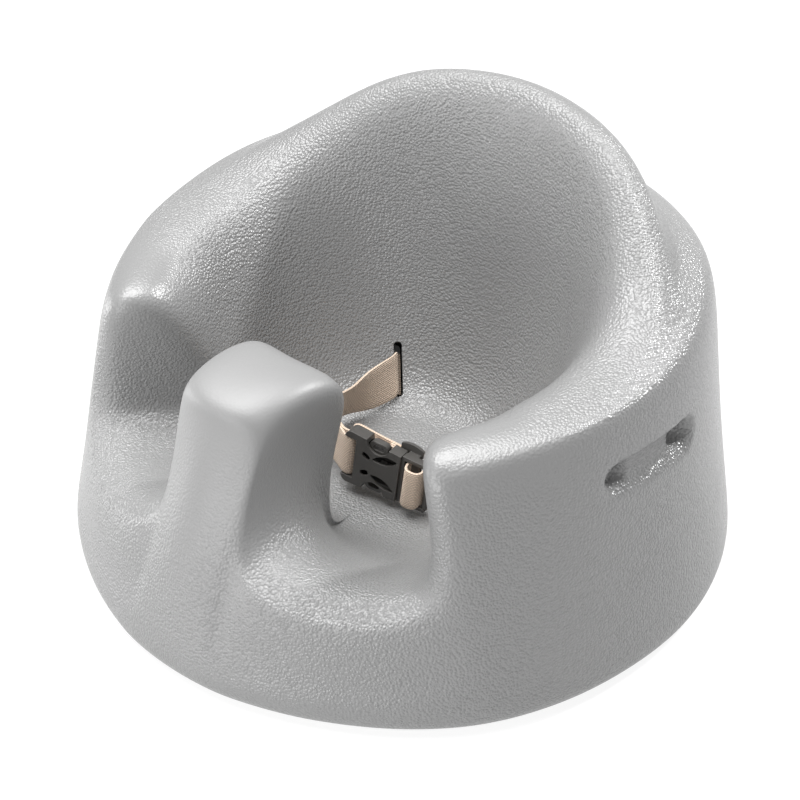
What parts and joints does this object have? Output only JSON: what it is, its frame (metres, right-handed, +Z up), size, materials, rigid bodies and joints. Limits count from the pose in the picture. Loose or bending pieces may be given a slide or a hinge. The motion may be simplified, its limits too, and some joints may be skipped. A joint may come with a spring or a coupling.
{
  "type": "baby floor seat",
  "caption": "Round moulded foam floor seat for a baby, with a high back, arm rests, a pommel between the legs and a webbing lap belt with a side-release buckle.",
  "frame": {"origin": "centre of the seat's round base, on the floor", "axes": "+Z up, the pommel faces -Y, +X on the right of a person who looks at the seat's front"},
  "size_m": [0.3736, 0.3748, 0.2361],
  "materials": {
    "foam": "grey self-skinned polyurethane foam, satin, with a fine pebbled grain",
    "webbing": "beige ribbed polyester webbing",
    "thread": "sewn thread bar",
    "buckle_plastic": "dark warm grey, fine matte grain",
    "anchor_steel": "zinc-plated plate"
  },
  "bodies": {
    "seat": {"seat_body": "foam", "left_anchor_plate": "anchor_steel", "right_anchor_plate": "anchor_steel", "left_anchor_strap": "webbing", "right_anchor_strap": "webbing", "left_anchor_tack": "thread", "right_anchor_tack": "thread"},
    "belt": {"right_strap": "webbing", "buckle_plug": "buckle_plastic", "adjuster_strap": "webbing", "tail_tack": "thread"},
    "socket": {"buckle_socket": "buckle_plastic", "left_strap": "webbing", "left_strap_tack": "thread"},
    "upper_arm": {"upper_release_arm": "buckle_plastic"},
    "lower_arm": {"lower_release_arm": "buckle_plastic"}
  },
  "joints": [
    {"name": "belt_lift", "type": "hinge", "parent": "seat", "child": "belt", "pos_m": [0, 0.04346, 0.0555], "axis": [-1, 0, 0], "range_deg": [0, 60], "deforming": ["left_strap", "right_strap"]},
    {"name": "buckle_release", "type": "slide", "parent": "belt", "child": "socket", "axis": [-0.9804, -0.1673, 0.1044], "range_m": [0, 0.024], "deforming": ["left_strap", "upper_release_arm", "lower_release_arm"]},
    {"name": "release_squeeze", "type": "hinge", "parent": "belt", "child": "upper_arm", "pos_m": [0.02786, -0.03638, 0.07194], "axis": [0.1734, -0.9835, 0.0523], "range_deg": [0, 8], "stiffness_Nm_per_rad": 0.05},
    {"name": "lower_squeeze", "type": "hinge", "parent": "belt", "child": "lower_arm", "pos_m": [0.02587, -0.03785, 0.05085], "axis": [0.1734, -0.9835, 0.0523], "range_deg": [-8, 0], "stiffness_Nm_per_rad": 0.05}
  ],
  "couplings": [
    {"joint": "lower_squeeze", "follows": "release_squeeze", "ratio": -1}
  ]
}
